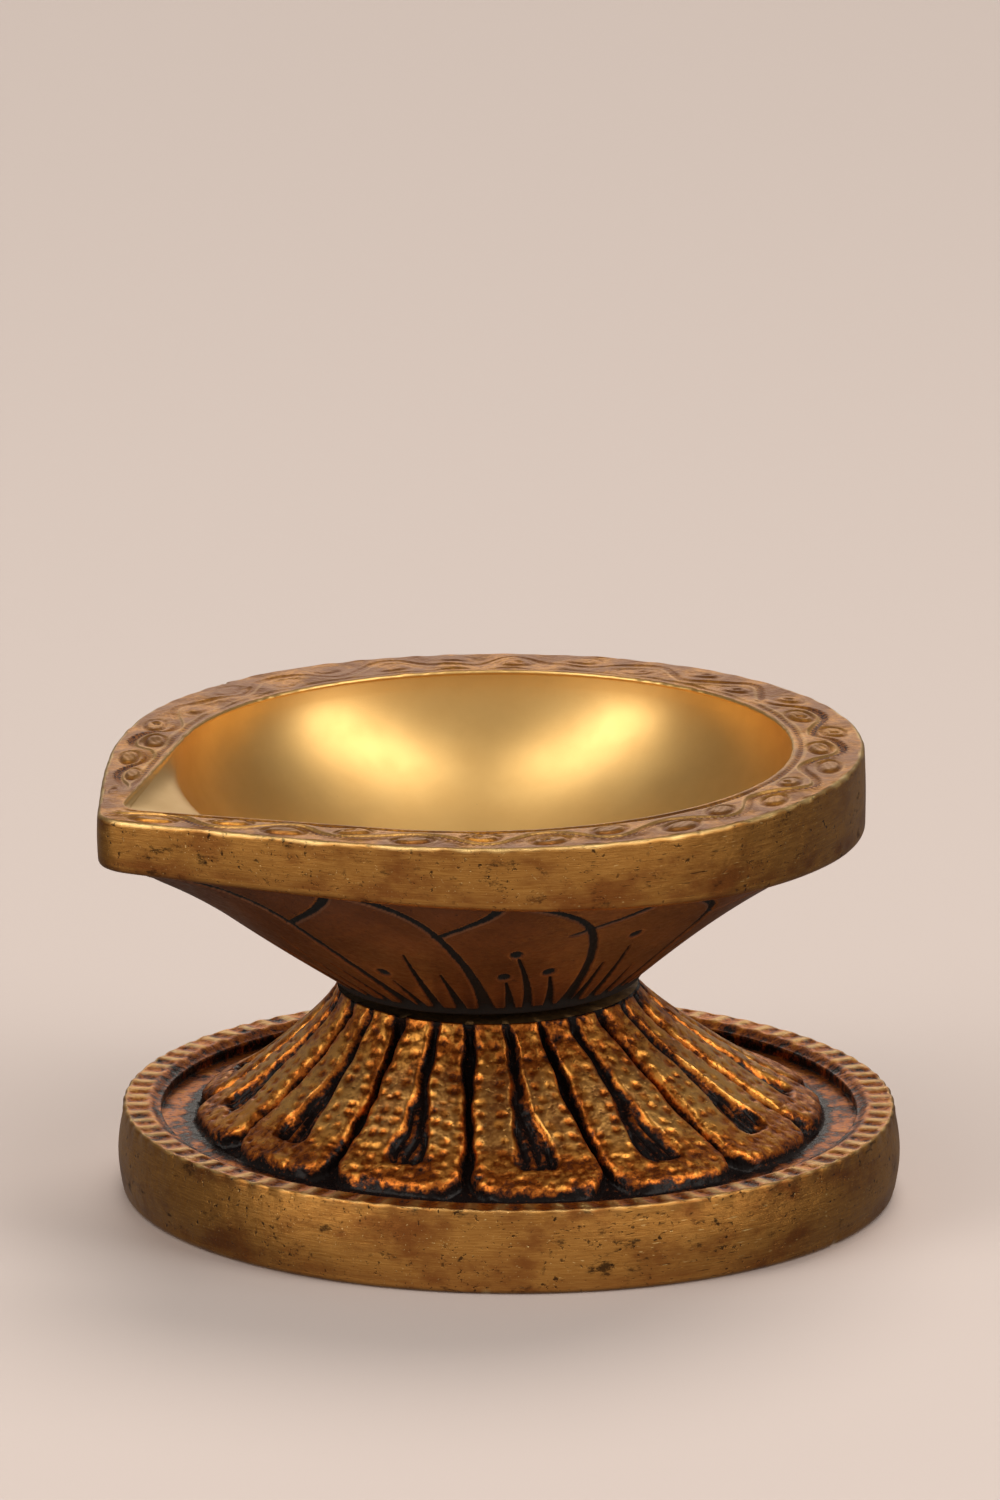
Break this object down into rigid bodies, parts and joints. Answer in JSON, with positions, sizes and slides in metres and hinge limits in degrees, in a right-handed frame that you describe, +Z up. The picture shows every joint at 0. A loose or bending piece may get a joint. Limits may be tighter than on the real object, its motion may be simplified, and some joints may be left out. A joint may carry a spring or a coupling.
{
  "type": "oil lamp",
  "caption": "Cast brass oil lamp: an open bowl drawn out to a wick spout, screwed by a hidden stud onto a round lotus-petal pedestal with a beaded foot.",
  "frame": {"origin": "middle of the whole lamp's bounding box, on the surface that the foot stands on; the foot's own axis is 6.1 mm along +X", "axes": "+Z up; -X from the bowl's middle towards the pointed spout; the lamp is alike on its +Y and -Y sides apart from its screw threads and the spacing of its petals and beads"},
  "size_m": [0.1022, 0.09, 0.0539],
  "materials": {
    "bowl_brass": "cast, turned and engraved; polished inside, brushed on the rim band, dark brown patina on the cone",
    "pedestal_brass": "cast and chased; worn bright on the raised edges, brown-black patina in the grooves",
    "stud_steel": "plain turned steel",
    "washer_steel": "stamped, zinc-plated steel",
    "spring_steel": "dark oiled spring steel",
    "nut_steel": "zinc-plated steel",
    "fibre": "dark oil-soaked fibre"
  },
  "bodies": {
    "pedestal": {"pedestal": "pedestal_brass", "center_stud": "stud_steel", "clamp_washer": "washer_steel", "lock_washer": "spring_steel", "hex_nut": "nut_steel"},
    "seat": {"seat_washer": "fibre"},
    "bowl": {"bowl": "bowl_brass"}
  },
  "joints": [
    {"name": "bowl_rise", "type": "slide", "parent": "pedestal", "child": "seat", "axis": [-0.0227, 0, 0.9997], "range_m": [0, 0.0075]},
    {"name": "bowl_turn", "type": "hinge", "parent": "seat", "child": "bowl", "pos_m": [0.0031, 0, 0.0254], "axis": [-0.0227, 0, 0.9997], "range_deg": [0, 2160]}
  ],
  "couplings": [
    {"joint": "bowl_rise", "follows": "bowl_turn", "m_per_rad": 0.00019894}
  ]
}
